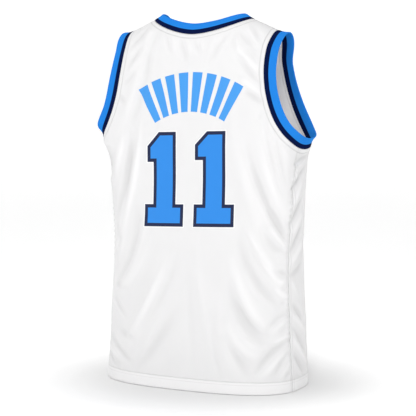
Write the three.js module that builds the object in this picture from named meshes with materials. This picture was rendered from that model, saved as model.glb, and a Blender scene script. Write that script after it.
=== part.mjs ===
// Sleeveless basketball jersey, filled out as if someone wore it.
// Millimetres. The origin lies midway between the two neck points of the shoulders.
// x runs to the wearer's left, y to the back and z up, so the front faces -y.
import * as THREE from 'three';

const garment = {
  length: 735, // neck point down to the hem
  seamGap: 0.3, // clearance between neighbouring pieces
  wall: 1.4, // knitted cloth of the panels
  hemDepth: 25, // cloth turned up inside the hem
  hemWall: 2.6,
};

const shoulder = {
  slope: 0.43, // fall for each millimetre outward
  neckHalf: 108, // neck point out from the middle
  tipHalf: 160, // armhole end of the shoulder seam
  behindNeck: 8, // shoulder line behind the body's widest line, at the neck
  behindTip: 3, // and at the tip
  backRound: 115, // height over which the back rounds off to the shoulder
  frontRound: 250,
};

// How the neck seam falls from the neck point to the middle.
const neck = {
  backDown: 30.5,
  backPower: 1.7,
  frontDown: 105,
};

// Armhole seam: near upright below the tip, then a quarter of a rounded square that
// ends level at the body's widest line, a little in front of the side seam.
const armhole = {
  lowest: 255, // down from the neck points
  back: { across: 157, straightTo: 60, power: 2.25 },
  front: { across: 146.5, straightTo: 88, power: 2.1 },
};

// Ribbed bands: width, wall and how far they lean out of the cloth's own
// direction, as a share of the width.
const band = {
  wide: 25,
  wall: 2.2,
  proud: 0.4, // stands over the panel's face
  neckLeanBack: -0.2,
  neckLeanSide: 0.12,
  neckLeanFront: -0.05,
  neckNarrower: 4, // at the neck points, where the rib is stretched most
  armLeanTop: 0.24,
  armLeanUnder: 0.48,
  armLeanFromBack: 0.7, // share of the armhole's height where the lean starts
  armLeanFromFront: 0.32,
};

// Just under each armhole the cloth stands out towards the band.
const underarmFlare = { out: 7, high: 16, down: 250, round: 45, ahead: 12 };

// Level sections of the body, each an oval of its own squareness.
// down: below the neck points, half: half width, back and front: depths,
// boxBack and boxFront: squareness, seam: side seam behind the widest line.
const sections = [
  { down: -30, half: 209, back: 72, front: 86, boxBack: 5.5, boxFront: 3.0, seam: 27 },
  { down: 75, half: 214, back: 74, front: 91, boxBack: 5.5, boxFront: 3.0, seam: 27 },
  { down: 135, half: 216, back: 77, front: 94, boxBack: 5.4, boxFront: 3.0, seam: 27 },
  { down: 195, half: 216, back: 80, front: 96, boxBack: 5.2, boxFront: 3.0, seam: 28 },
  { down: 255, half: 213, back: 79, front: 97, boxBack: 5.0, boxFront: 3.0, seam: 28 },
  { down: 335, half: 207.5, back: 77, front: 97, boxBack: 3.8, boxFront: 3.0, seam: 30 },
  { down: 475, half: 203.5, back: 83, front: 99, boxBack: 3.0, boxFront: 3.0, seam: 34 },
  { down: 615, half: 207, back: 100, front: 117, boxBack: 2.7, boxFront: 2.9, seam: 34 },
  { down: 735, half: 211, back: 119, front: 131, boxBack: 2.7, boxFront: 2.8, seam: 33 },
];

// Largest folds. across: round the body from the middle of the back, positive to
// the wearer's left, down: below the neck points, bow: sideways bulge of the line,
// wide: half width, high: out of the cloth, or into it where negative.
const backFolds = [
  { across: 118, down: 276, toAcross: 188, toDown: 485, bow: -12, wide: 13, high: 4.5 },
  { across: 152, down: 330, toAcross: 200, toDown: 437, bow: -6, wide: 12, high: -4 },
  { across: 95, down: 444, toAcross: 176, toDown: 550, bow: -8, wide: 13, high: 4 },
  { across: 82, down: 500, toAcross: 150, toDown: 640, bow: -8, wide: 13, high: -3.5 },
  { across: 48, down: 421, toAcross: 141, toDown: 691, bow: -14, wide: 15, high: 4 },
  { across: 205, down: 590, toAcross: 140, toDown: 600, bow: 5, wide: 10, high: 3 },
  { across: 210, down: 655, toAcross: 135, toDown: 676, bow: 6, wide: 10, high: 3 },
  { across: -112, down: 300, toAcross: -205, toDown: 482, bow: 14, wide: 13, high: 4.5 },
  { across: -126, down: 400, toAcross: -208, toDown: 540, bow: 8, wide: 12, high: 3.5 },
  { across: -100, down: 420, toAcross: -190, toDown: 600, bow: 12, wide: 12, high: -3.5 },
  { across: -92, down: 450, toAcross: -205, toDown: 628, bow: 12, wide: 13, high: 4 },
  { across: -148, down: 680, toAcross: -214, toDown: 605, bow: -5, wide: 11, high: 3.5 },
  { across: -168, down: 300, toAcross: -214, toDown: 470, bow: 6, wide: 10, high: -4 },
  { across: 100, down: 52, toAcross: 142, toDown: 120, bow: -5, wide: 10, high: 3 },
  { across: -92, down: 50, toAcross: -152, toDown: 96, bow: 5, wide: 10, high: 3 },
  { across: -20, down: 430, toAcross: -66, toDown: 640, bow: 8, wide: 16, high: 2.5 },
  { across: 208, down: 280, toAcross: 212, toDown: 340, bow: 0, wide: 28, high: -9 },
];

// The front hangs with like folds, measured from the middle of the front,
// positive to the wearer's left.
const frontFolds = [
  { across: 108, down: 270, toAcross: 205, toDown: 455, bow: -14, wide: 13, high: 4.5 },
  { across: 150, down: 300, toAcross: 240, toDown: 420, bow: -8, wide: 12, high: -3.5 },
  { across: 90, down: 420, toAcross: 190, toDown: 570, bow: -10, wide: 14, high: 4 },
  { across: 40, down: 430, toAcross: 120, toDown: 690, bow: -12, wide: 15, high: 3.5 },
  { across: -100, down: 260, toAcross: -210, toDown: 440, bow: 14, wide: 13, high: 4.5 },
  { across: -140, down: 320, toAcross: -236, toDown: 470, bow: 8, wide: 12, high: -3.5 },
  { across: -84, down: 440, toAcross: -196, toDown: 600, bow: 12, wide: 14, high: 4 },
  { across: -34, down: 400, toAcross: -96, toDown: 680, bow: 10, wide: 16, high: 3 },
  { across: 258, down: 330, toAcross: 212, toDown: 400, bow: 4, wide: 10, high: 3 },
  { across: -258, down: 330, toAcross: -212, toDown: 400, bow: -4, wide: 10, high: 3 },
  { across: 262, down: 480, toAcross: 214, toDown: 560, bow: 4, wide: 11, high: 3 },
  { across: -262, down: 500, toAcross: -210, toDown: 590, bow: -4, wide: 11, high: 3 },
];

// Cells of each half panel: across from the middle to the neck's corner column,
// along the shoulder, down the armhole and down the side seam.
const cells = { middle: 8, shoulder: 5, armhole: 16, side: 20 };
const columns = cells.middle + cells.shoulder;
const riseAtSides = 30; // rows run lower in the middle than at the sides
const risePower = 2.5;
const ovalSteps = 240;

const mix = (from, to, share) => from + (to - from) * share;
const clamp = (value, low, high) => Math.min(high, Math.max(low, value));
const ease = (value) => {
  const share = clamp(value, 0, 1);
  return share * share * (3 - 2 * share);
};

// A smooth curve through the table's rows, read at one depth.
function sectionAt(down) {
  const depth = clamp(down, sections[0].down, sections[sections.length - 1].down);
  let row = 0;
  while (row < sections.length - 2 && sections[row + 1].down < depth) {
    row += 1;
  }
  const start = sections[row];
  const end = sections[row + 1];
  const before = sections[Math.max(0, row - 1)];
  const after = sections[Math.min(sections.length - 1, row + 2)];
  const gap = end.down - start.down;
  const t = (depth - start.down) / gap;
  const read = (key) => {
    const slopeIn = (end[key] - before[key]) / (end.down - before.down);
    const slopeOut = (after[key] - start[key]) / (after.down - start.down);
    const bend = t * t * (3 - 2 * t);
    const leave = t * (1 - t) * (1 - t) * slopeIn * gap;
    const arrive = t * t * (t - 1) * slopeOut * gap;
    return mix(start[key], end[key], bend) + leave + arrive;
  };
  return {
    half: read('half'),
    back: read('back'),
    front: read('front'),
    boxBack: read('boxBack'),
    boxFront: read('boxFront'),
    seam: read('seam'),
  };
}

// The oval at one depth as a chain of points from the middle of the back, round
// the side, to the middle of the front, with the length reached at each.
const ovals = new Map();
function ovalAt(down) {
  const key = Math.round(down * 50);
  if (ovals.has(key)) {
    return ovals.get(key);
  }
  const section = sectionAt(down);
  const chain = { x: [], y: [], reach: [], section };
  for (let step = 0; step <= ovalSteps; step += 1) {
    const turn = (Math.PI * step) / ovalSteps;
    const behind = turn <= Math.PI / 2;
    const power = behind ? section.boxBack : section.boxFront;
    const depth = behind ? section.back : section.front;
    const sideways = Math.abs(Math.sin(turn)) / section.half;
    const deep = Math.abs(Math.cos(turn)) / depth;
    const radius = (sideways ** power + deep ** power) ** (-1 / power);
    chain.x.push(radius * Math.sin(turn));
    chain.y.push(radius * Math.cos(turn));
    if (step === 0) {
      chain.reach.push(0);
    } else {
      const length = Math.hypot(chain.x[step] - chain.x[step - 1], chain.y[step] - chain.y[step - 1]);
      chain.reach.push(chain.reach[step - 1] + length);
    }
  }
  chain.total = chain.reach[ovalSteps];
  chain.widestReach = chain.reach[ovalSteps / 2];
  let index = 1;
  while (chain.y[index] > section.seam) {
    index += 1;
  }
  const share = (chain.y[index - 1] - section.seam) / (chain.y[index - 1] - chain.y[index]);
  chain.seamReach = mix(chain.reach[index - 1], chain.reach[index], share);
  ovals.set(key, chain);
  return chain;
}

function alongOval(chain, reach) {
  const length = clamp(reach, 0, chain.total);
  let low = 0;
  let high = ovalSteps;
  while (high - low > 1) {
    const middle = (low + high) >> 1;
    if (chain.reach[middle] <= length) {
      low = middle;
    } else {
      high = middle;
    }
  }
  const share = (length - chain.reach[low]) / (chain.reach[high] - chain.reach[low]);
  return [mix(chain.x[low], chain.x[high], share), mix(chain.y[low], chain.y[high], share)];
}

// Depth of the shoulder line under the level of the neck points.
function shoulderLine(x) {
  const out = Math.abs(x);
  if (out > shoulder.neckHalf) {
    return shoulder.slope * (out - shoulder.neckHalf);
  }
  // Between the neck points the line would round over the neck.
  return -0.5 * shoulder.slope * shoulder.neckHalf * (1 - (out / shoulder.neckHalf) ** 2);
}

// Length of cloth from the shoulder line down over a quarter oval, at even turns.
const quarterSteps = 90;
const quarterDepth = 80;
const quarters = new Map();
function quarterAt(rounding) {
  if (!quarters.has(rounding)) {
    const reach = [0];
    for (let step = 1; step <= quarterSteps; step += 1) {
      const turn = (Math.PI * (step - 0.5)) / (2 * quarterSteps);
      const rate = Math.hypot(quarterDepth * Math.cos(turn), rounding * Math.sin(turn));
      reach.push(reach[step - 1] + (rate * Math.PI) / (2 * quarterSteps));
    }
    quarters.set(rounding, reach);
  }
  return quarters.get(rounding);
}

// Turn of the quarter oval that a length of cloth reaches, and back.
function clothToTurn(cloth, rounding) {
  const reach = quarterAt(rounding);
  let step = 0;
  while (step < quarterSteps - 1 && reach[step + 1] < cloth) {
    step += 1;
  }
  const share = (cloth - reach[step]) / (reach[step + 1] - reach[step]);
  return (Math.PI * (step + share)) / (2 * quarterSteps);
}

// The shoulder line's distance behind the body's widest line.
function shoulderBehind(x) {
  const share = clamp((Math.abs(x) - shoulder.neckHalf) / (shoulder.tipHalf - shoulder.neckHalf), 0, 1);
  return mix(shoulder.behindNeck, shoulder.behindTip, share);
}

function clothToDown(x, cloth, rounding) {
  const whole = quarterAt(rounding)[quarterSteps];
  if (cloth >= whole) {
    return shoulderLine(x) + rounding + cloth - whole;
  }
  return shoulderLine(x) + rounding * (1 - Math.cos(clothToTurn(cloth, rounding)));
}

function downToCloth(x, down, rounding) {
  const reach = quarterAt(rounding);
  const share = Math.max(0, (down - shoulderLine(x)) / rounding);
  if (share >= 1) {
    return reach[quarterSteps] + (share - 1) * rounding;
  }
  const place = (2 * quarterSteps * Math.acos(1 - share)) / Math.PI;
  const step = Math.min(quarterSteps - 1, Math.floor(place));
  return mix(reach[step], reach[step + 1], place - step);
}

// Each panel counts its width from its own middle and its length from the shoulder.
const panels = {
  back: {
    rounding: shoulder.backRound,
    arm: armhole.back,
    strapRows: 3, // rows that the neck opening cuts into
    reachFromBack: (across) => across,
    seamAt: (chain) => chain.seamReach,
    widestAt: (chain) => chain.widestReach,
    neckDown: (turn) => neck.backDown * (1 - Math.sin(turn) ** neck.backPower),
  },
  front: {
    rounding: shoulder.frontRound,
    arm: armhole.front,
    strapRows: 7,
    reachFromBack: (across, chain) => chain.total - across,
    seamAt: (chain) => chain.total - chain.seamReach,
    widestAt: (chain) => chain.total - chain.widestReach,
    neckDown: (turn) => neck.frontDown * Math.cos(turn),
  },
};

// Distance across the cloth at which a panel reaches x.
function acrossAt(panel, x, down) {
  const chain = ovalAt(down);
  const fromMiddle = (step) => (panel === panels.back ? step : ovalSteps - step);
  let step = 0;
  while (chain.x[fromMiddle(step + 1)] < x) {
    step += 1;
  }
  const low = fromMiddle(step);
  const high = fromMiddle(step + 1);
  const reach = mix(chain.reach[low], chain.reach[high], (x - chain.x[low]) / (chain.x[high] - chain.x[low]));
  return panel.reachFromBack(reach, chain);
}

// Length of cloth above a place given by its depth.
function clothAt(panel, across, down) {
  const chain = ovalAt(down);
  const [x] = alongOval(chain, panel.reachFromBack(across, chain));
  return downToCloth(x, down, panel.rounding);
}

// A point of the smooth form, from its place in the cloth.
function panelPoint(panel, across, cloth) {
  let down = clothToDown(Math.min(across, 205), cloth, panel.rounding);
  let x = 0;
  let y = 0;
  for (let pass = 0; pass < 4; pass += 1) {
    const chain = ovalAt(down);
    [x, y] = alongOval(chain, panel.reachFromBack(across, chain));
    down = clothToDown(x, cloth, panel.rounding);
  }
  const ownSide = (y >= 0) === (panel === panels.back);
  if (ownSide && cloth < quarterAt(panel.rounding)[quarterSteps]) {
    y = mix(shoulderBehind(x), y, Math.sin(clothToTurn(cloth, panel.rounding)));
  }
  return new THREE.Vector3(x, y, -down);
}

function panelNormal(panel, across, cloth) {
  const step = 1.5;
  const inner = Math.max(0, across - step);
  const upper = Math.max(0, cloth - step);
  const sideways = panelPoint(panel, across + step, cloth).sub(panelPoint(panel, inner, cloth));
  const downward = panelPoint(panel, across, cloth + step).sub(panelPoint(panel, across, upper));
  const normal = sideways.cross(downward).normalize();
  return panel === panels.back ? normal : normal.negate();
}

// Picks places at even lengths along a finely drawn edge of a panel.
function evenSteps(panel, count, placeAt) {
  const fine = 500;
  const trail = [];
  for (let step = 0; step <= fine; step += 1) {
    const place = placeAt(step / fine);
    place.point = panelPoint(panel, place.across, place.cloth);
    place.run = step === 0 ? 0 : trail[step - 1].run + place.point.distanceTo(trail[step - 1].point);
    trail.push(place);
  }
  const picked = [];
  let index = 0;
  for (let step = 0; step <= count; step += 1) {
    const wanted = (trail[fine].run * step) / count;
    while (index < fine - 1 && trail[index + 1].run < wanted) {
      index += 1;
    }
    const [before, after] = [trail[index], trail[index + 1]];
    const share = clamp((wanted - before.run) / (after.run - before.run), 0, 1);
    picked.push({
      across: mix(before.across, after.across, share),
      cloth: mix(before.cloth, after.cloth, share),
      down: mix(before.down, after.down, share),
    });
  }
  return picked;
}

// Sum of the soft ridges and troughs, faded out along the shoulder.
function foldHeight(folds, across, down, cloth) {
  let height = 0;
  folds.forEach((fold) => {
    const runAcross = fold.toAcross - fold.across;
    const runDown = fold.toDown - fold.down;
    const length = Math.hypot(runAcross, runDown);
    const along = ((across - fold.across) * runAcross + (down - fold.down) * runDown) / length ** 2;
    const aside = ((across - fold.across) * runDown - (down - fold.down) * runAcross) / length;
    const inside = clamp(along, 0, 1);
    const line = fold.bow * 4 * inside * (1 - inside);
    const past = (along - inside) * length;
    const away = Math.hypot(aside - line, past) / fold.wide;
    const taper = 0.25 + 0.75 * Math.sin(Math.PI * inside);
    height += fold.high * taper * Math.exp(-away * away);
  });
  return height * ease(cloth / 60);
}

// A place on the armhole, share 0 at the tip and 1 at the lowest point.
function armholeAt(panel, share) {
  const { arm } = panel;
  const tipDown = shoulderLine(shoulder.tipHalf);
  const lowest = panel.widestAt(ovalAt(armhole.lowest));
  if (share <= 0) {
    return { across: acrossAt(panel, shoulder.tipHalf, tipDown), down: tipDown };
  }
  const straight = 0.3;
  if (share < straight) {
    const part = (share / straight) ** 2;
    const down = mix(tipDown, arm.straightTo, part);
    return { across: mix(acrossAt(panel, shoulder.tipHalf, tipDown), arm.across, ease(part)), down };
  }
  const turn = (Math.PI / 2) * ((share - straight) / (1 - straight));
  return {
    across: mix(lowest, arm.across, Math.cos(turn) ** (2 / arm.power)),
    down: mix(arm.straightTo, armhole.lowest, Math.sin(turn) ** (2 / arm.power)),
  };
}

// Share of the back's armhole curve at which the side seam meets it.
function seamShare() {
  let [low, high] = [0.5, 1];
  for (let pass = 0; pass < 30; pass += 1) {
    const middle = (low + high) / 2;
    const place = armholeAt(panels.back, middle);
    if (place.across < ovalAt(place.down).seamReach) {
      low = middle;
    } else {
      high = middle;
    }
  }
  return low;
}

// The armhole and the side seam of a half panel, from the shoulder down. The front
// runs on past the lowest point, up to the side seam.
function sideEdge(panel) {
  const meet = seamShare();
  const cornerDown = armholeAt(panels.back, meet).down;
  const edge = evenSteps(panel, cells.armhole, (share) => {
    const run = panel === panels.back ? share * meet : share * (2 - meet);
    const place = armholeAt(run > 1 ? panels.back : panel, Math.min(run, 2 - run));
    if (run > 1) {
      place.across = ovalAt(place.down).total - place.across;
    }
    return { ...place, cloth: share === 0 ? 0 : clothAt(panel, place.across, place.down) };
  });
  edge[cells.armhole].across -= garment.seamGap / 2;
  for (let row = 1; row <= cells.side; row += 1) {
    const down = mix(cornerDown, garment.length, row / cells.side);
    const across = panel.seamAt(ovalAt(down)) - garment.seamGap / 2;
    edge.push({ across, down, cloth: clothAt(panel, across, down) });
  }
  return edge;
}

// The neck of a half panel, from the neck point to the middle.
function neckEdge(panel) {
  return evenSteps(panel, panel.strapRows + cells.middle, (share) => {
    const turn = (Math.PI / 2) * (1 - share);
    const down = panel.neckDown(turn);
    const x = shoulder.neckHalf * Math.sin(turn);
    const across = acrossAt(panel, x, down);
    return { across, down, cloth: share === 0 ? 0 : downToCloth(x, down, panel.rounding) };
  });
}

// Places of one half panel, a list for each row. The rows beside the neck opening
// start at the neck's corner column, the others in the middle.
function halfPlaces(panel) {
  const side = sideEdge(panel);
  const neckline = neckEdge(panel);
  const last = side.length - 1;
  const cut = panel.strapRows;
  const places = [];
  const span = (from, to, share) => ({
    across: mix(from.across, to.across, share),
    cloth: mix(from.cloth, to.cloth, share),
  });
  for (let row = 0; row <= cut; row += 1) {
    const line = [];
    for (let column = cells.middle; column <= columns; column += 1) {
      line[column] = span(neckline[row], side[row], (column - cells.middle) / cells.shoulder);
    }
    places.push(line);
  }
  const top = places[cut];
  for (let column = 0; column < cells.middle; column += 1) {
    top[column] = neckline[cut + cells.middle - column];
  }
  const topWidth = side[cut].across;
  const hem = side[last];
  const hemMiddle = clothAt(panel, 0, garment.length);
  const neckDown = panel.neckDown(0);
  const deepest = armhole.lowest + riseAtSides;
  for (let row = cut + 1; row <= last; row += 1) {
    const middleDown = row <= cells.armhole
      ? mix(neckDown, deepest, (row - cut) / (cells.armhole - cut))
      : mix(deepest, garment.length, (row - cells.armhole) / cells.side);
    const blend = (middleDown - neckDown) / (garment.length - neckDown);
    const middle = clothAt(panel, 0, middleDown);
    const edge = side[row];
    places.push(top.map((start, column) => {
      const even = column / columns;
      const topAcross = edge.across > topWidth
        ? start.across * (edge.across / topWidth)
        : start.across + (edge.across - topWidth) * (start.across / topWidth) ** 6;
      const across = mix(topAcross, edge.across * even, blend);
      const plain = mix(middle, edge.cloth, (across / edge.across) ** risePower);
      // The neck and the level hem are met exactly, and fade into the rows between.
      const topPlain = mix(top[0].cloth, side[cut].cloth, (start.across / topWidth) ** risePower);
      const hemPlain = mix(hemMiddle, hem.cloth, even ** risePower);
      const hemLevel = clothAt(panel, hem.across * even, garment.length);
      const cloth = plain
        + (start.cloth - topPlain) * (1 - blend) ** 2
        + (hemLevel - hemPlain) * blend ** 2;
      return { across, cloth };
    }));
  }
  return places;
}

// Nodes of a whole panel: rows of points with normals, from the wearer's left to
// the wearer's right, with nothing where the neck is open.
function panelNodes(panel) {
  const places = halfPlaces(panel);
  return places.map((line, row) => {
    const nodes = [];
    for (let column = -columns; column <= columns; column += 1) {
      const place = line[Math.abs(column)];
      const hand = column > 0 ? -1 : 1;
      nodes.push(place ? nodeAt(panel, place, hand, row === 0) : null);
    }
    return nodes;
  });
}

function nodeAt(panel, place, hand, onShoulder) {
  const point = panelPoint(panel, place.across, place.cloth);
  const normal = panelNormal(panel, place.across, place.cloth);
  const down = -point.z;
  const chain = ovalAt(down);
  const reach = panel.reachFromBack(place.across, chain);
  const under = (down - underarmFlare.down) / underarmFlare.high;
  const aside = (reach - chain.widestReach - underarmFlare.ahead) / underarmFlare.round;
  const bump = foldHeight(backFolds, reach * hand, down, place.cloth)
    + foldHeight(frontFolds, (chain.total - reach) * hand, down, place.cloth)
    + underarmFlare.out * Math.exp(-under * under - aside * aside);
  point.x *= hand;
  normal.x *= hand;
  point.addScaledVector(normal, bump);
  if (onShoulder) {
    point.y += (panel === panels.back ? 0.5 : -0.5) * garment.seamGap;
  }
  const turned = ease((down - garment.length + garment.hemDepth + 4) / 4);
  return { point, normal, wall: mix(garment.wall, garment.hemWall, turned) };
}

// A closed wall from rows of nodes, each with a point, normal and wall. Cells that
// lack a node stay open. round: the rows' ends are joined.
function wallMesh(name, grid, round, colour) {
  const nodes = [];
  const numbers = grid.map((row) => row.map((node) => (node ? nodes.push(node) - 1 : -1)));
  const under = nodes.length;
  const outer = nodes.map((node) => node.point);
  const inner = nodes.map((node) => node.point.clone().addScaledVector(node.normal, -node.wall));
  const positions = [...outer, ...inner].flatMap((point) => point.toArray());
  const index = [];
  const edges = new Map();
  const triangle = (a, b, c) => {
    index.push(a, b, c, a + under, c + under, b + under);
    [[a, b], [b, c], [c, a]].forEach(([from, to]) => {
      if (!edges.delete(`${to} ${from}`)) {
        edges.set(`${from} ${to}`, [from, to]);
      }
    });
  };
  numbers.slice(1).forEach((row, above) => {
    const across = round ? row.length : row.length - 1;
    for (let column = 0; column < across; column += 1) {
      const next = (column + 1) % row.length;
      const cell = [numbers[above][column], numbers[above][next], row[next], row[column]];
      if (cell.every((number) => number >= 0)) {
        // Both faces of the wall are split the same way, along the shorter diagonal.
        const [a, b, c, d] = cell;
        const falling = outer[a].distanceTo(outer[c]) < outer[b].distanceTo(outer[d]);
        const [first, second, third, fourth] = falling ? [a, b, c, d] : [b, c, d, a];
        triangle(first, second, third);
        triangle(first, third, fourth);
      }
    }
  });
  edges.forEach(([from, to]) => {
    index.push(to, from, from + under, to, from + under, to + under);
  });
  const geometry = new THREE.BufferGeometry();
  geometry.setAttribute('position', new THREE.Float32BufferAttribute(positions, 3));
  geometry.setIndex(faceOut(positions, index));
  geometry.computeVertexNormals();
  const material = new THREE.MeshStandardMaterial({ color: colour, roughness: 0.8 });
  const mesh = new THREE.Mesh(geometry, material);
  mesh.name = name;
  return mesh;
}

// Turns every face over if the whole is inside out.
function faceOut(positions, index) {
  let volume = 0;
  const corner = (which) => new THREE.Vector3().fromArray(positions, which * 3);
  for (let start = 0; start < index.length; start += 3) {
    const [a, b, c] = [corner(index[start]), corner(index[start + 1]), corner(index[start + 2])];
    volume += a.dot(b.cross(c));
  }
  if (volume > 0) {
    return index;
  }
  const turned = [];
  for (let start = 0; start < index.length; start += 3) {
    turned.push(index[start], index[start + 2], index[start + 1]);
  }
  return turned;
}

// A band along a closed line of panel edge nodes. centre lies inside the opening,
// and shapeAt gives the lean and the width at each node.
function bandMesh(name, line, centre, shapeAt, colour) {
  const count = line.length;
  const spokes = line.map((node, index) => {
    const before = line[(index + count - 1) % count].point;
    const after = line[(index + 1) % count].point;
    const run = after.clone().sub(before);
    const out = node.normal.clone().cross(run).normalize();
    if (out.dot(centre.clone().sub(node.point)) < 0) {
      out.negate();
    }
    return { node, out, ...shapeAt(node) };
  });
  const grid = [0, 0.34, 0.67, 1].map((share) => spokes.map(({ node, out, lean, wide }) => {
    const station = Math.max(garment.seamGap, wide * share);
    const heading = out.clone().addScaledVector(node.normal, lean * share).normalize();
    const normal = node.normal.clone().addScaledVector(heading, -heading.dot(node.normal)).normalize();
    const point = node.point.clone().addScaledVector(heading, station);
    point.addScaledVector(node.normal, band.proud);
    return { point, normal, wall: band.wall };
  }));
  return wallMesh(name, grid, true, colour);
}

const colours = { cloth: 0xf4f4f5, rib: 0x3c9bf8 };
const jersey = new THREE.Group();

const backNodes = panelNodes(panels.back);
const frontNodes = panelNodes(panels.front);
jersey.add(wallMesh('back_panel', backNodes, false, colours.cloth));
jersey.add(wallMesh('front_panel', frontNodes, false, colours.cloth));

// Where two panels meet, the band starts from the point between them.
const between = (first, second) => ({
  point: first.point.clone().add(second.point).multiplyScalar(0.5),
  normal: first.normal.clone().add(second.normal).normalize(),
});

// The neck edge of a panel between its neck points, from the wearer's left.
function neckNodes(nodes, panel) {
  const left = [];
  for (let row = 0; row < panel.strapRows; row += 1) {
    left.push(nodes[row][columns - cells.middle]);
  }
  const middle = nodes[panel.strapRows].slice(columns - cells.middle, columns + cells.middle + 1);
  const right = [];
  for (let row = panel.strapRows - 1; row >= 0; row -= 1) {
    right.push(nodes[row][columns + cells.middle]);
  }
  return [...left, ...middle, ...right];
}

// Two edges that meet at both ends become one closed line.
function closedLine(first, second) {
  const end = first.length - 1;
  return [
    between(first[0], second[0]),
    ...first.slice(1, end),
    between(first[end], second[end]),
    ...second.slice(1, end).reverse(),
  ];
}

const backNeck = neckNodes(backNodes, panels.back);
const frontNeck = neckNodes(frontNodes, panels.front);
const neckShape = (node) => {
  const aside = ease(2 * Math.abs(node.point.x) / shoulder.neckHalf - 1);
  const middle = node.point.y > 0 ? band.neckLeanBack : band.neckLeanFront;
  return {
    lean: mix(middle, band.neckLeanSide, aside),
    wide: band.wide - band.neckNarrower * aside,
  };
};
const neckCentre = new THREE.Vector3(0, 0, 10);
jersey.add(bandMesh('neck_band', closedLine(backNeck, frontNeck), neckCentre, neckShape, colours.rib));

// The armhole bands lean out at the shoulder tip and, more so, under the arm.
const armShape = (node) => {
  const share = -node.point.z / armhole.lowest;
  const from = node.point.y > 0 ? band.armLeanFromBack : band.armLeanFromFront;
  const under = band.armLeanUnder * ease((share - from) / (1 - from));
  const top = band.armLeanTop * (1 - ease((share - 0.09) / 0.2));
  return { lean: under + top, wide: band.wide };
};
[['left', 0, 1], ['right', 2 * columns, -1]].forEach(([hand, column, side]) => {
  const edgeOf = (nodes) => nodes.slice(0, cells.armhole + 1).map((row) => row[column]);
  const line = closedLine(edgeOf(backNodes), edgeOf(frontNodes));
  const centre = new THREE.Vector3(side * 215, 0, -130);
  jersey.add(bandMesh(`armhole_band_${hand}`, line, centre, armShape, colours.rib));
});

export default jersey;
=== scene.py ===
# Sleeveless basketball jersey, filled out as if worn and seen from the back.
# Sizes in the tables are millimetres; everything is turned into metres when a mesh is made.
# x runs to the wearer's left, y to the back, z up; the origin is between the neck points.
import math

import bpy
import numpy as np
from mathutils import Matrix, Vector


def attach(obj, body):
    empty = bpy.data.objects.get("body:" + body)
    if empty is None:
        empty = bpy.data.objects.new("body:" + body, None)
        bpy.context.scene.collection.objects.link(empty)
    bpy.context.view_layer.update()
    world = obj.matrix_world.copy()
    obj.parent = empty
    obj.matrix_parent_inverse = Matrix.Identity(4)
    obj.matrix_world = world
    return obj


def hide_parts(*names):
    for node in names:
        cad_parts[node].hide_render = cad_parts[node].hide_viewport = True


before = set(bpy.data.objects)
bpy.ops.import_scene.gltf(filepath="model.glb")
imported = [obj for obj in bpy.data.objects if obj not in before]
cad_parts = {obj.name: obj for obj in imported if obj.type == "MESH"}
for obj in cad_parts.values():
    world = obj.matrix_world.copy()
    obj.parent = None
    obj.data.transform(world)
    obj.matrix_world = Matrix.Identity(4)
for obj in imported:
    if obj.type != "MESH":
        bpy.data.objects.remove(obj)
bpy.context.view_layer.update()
print("frame loaded:", len(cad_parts), "pieces to dress")

mm = 0.001

# The body's form.

garment = {
    "length": 735,        # neck point down to the hem
    "hemDepth": 25,       # cloth turned up inside the hem
    "wall": 1.4,          # knit as it stands, with its folds' softness
    "hemWall": 2.4,       # two layers
    "slope": 0.43,        # shoulder fall for each millimetre outward
    "neckHalf": 108,      # neck point out from the middle
    "tipHalf": 160,       # armhole end of the shoulder seam
    "behindNeck": 8,      # shoulder line behind the widest line, at the neck
    "behindTip": 3,
    "neckBackDown": 30.5, # how far the neck seam falls at the back, and how squarely
    "neckBackPower": 1.7,
    "neckFrontDown": 105,
    "armLowest": 255,     # lowest point of the armhole seam
    "riseAtSides": 30,    # mesh rows run lower in the middle than at the sides
    "risePower": 2.5,
}

# Level sections of the body. half: half width, back and front: depths,
# boxBack and boxFront: squareness, seam: side seam behind the widest line.
sectionColumns = ("down", "half", "back", "front", "boxBack", "boxFront", "seam")
sectionRows = np.array([
    (-30, 209.0, 72, 86, 5.5, 3.0, 27),
    (75, 214.0, 74, 91, 5.5, 3.0, 27),
    (135, 216.0, 77, 94, 5.4, 3.0, 27),
    (195, 216.0, 80, 96, 5.2, 3.0, 28),
    (255, 213.0, 79, 97, 5.0, 3.0, 28),
    (335, 207.5, 77, 97, 3.8, 3.0, 30),
    (475, 203.5, 83, 99, 3.0, 3.0, 34),
    (615, 207.0, 100, 117, 2.7, 2.9, 34),
    (735, 211.0, 119, 131, 2.7, 2.8, 33),
])

backPiece = {
    "name": "backPanel",
    "isBack": True,
    "rounding": 115,      # height over which the back rounds off to the shoulder
    "armAcross": 157,     # armhole seam from the middle of the back
    "armStraightTo": 60,
    "armPower": 2.25,
    "strapRows": 17,      # mesh rows beside the neck opening
}

frontPiece = {
    "name": "frontPanel",
    "isBack": False,
    "rounding": 250,
    "armAcross": 146.5,
    "armStraightTo": 88,
    "armPower": 2.1,
    "strapRows": 38,
}

cells = {"middle": 58, "shoulder": 40, "armhole": 88, "side": 150}
columns = cells["middle"] + cells["shoulder"]


def mix(start, end, share):
    return start + (end - start) * share


def ease(value):
    share = np.clip(value, 0, 1)
    return share * share * (3 - 2 * share)


def bell(value, wide):
    return np.exp(-(value / wide) ** 2)


def unit(vectors):
    return vectors / np.linalg.norm(vectors, axis=-1, keepdims=True)


def runAlong(points):
    # length of a line of points up to each of them
    return np.concatenate([[0], np.cumsum(np.linalg.norm(np.diff(points, axis=0), axis=1))])


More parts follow.
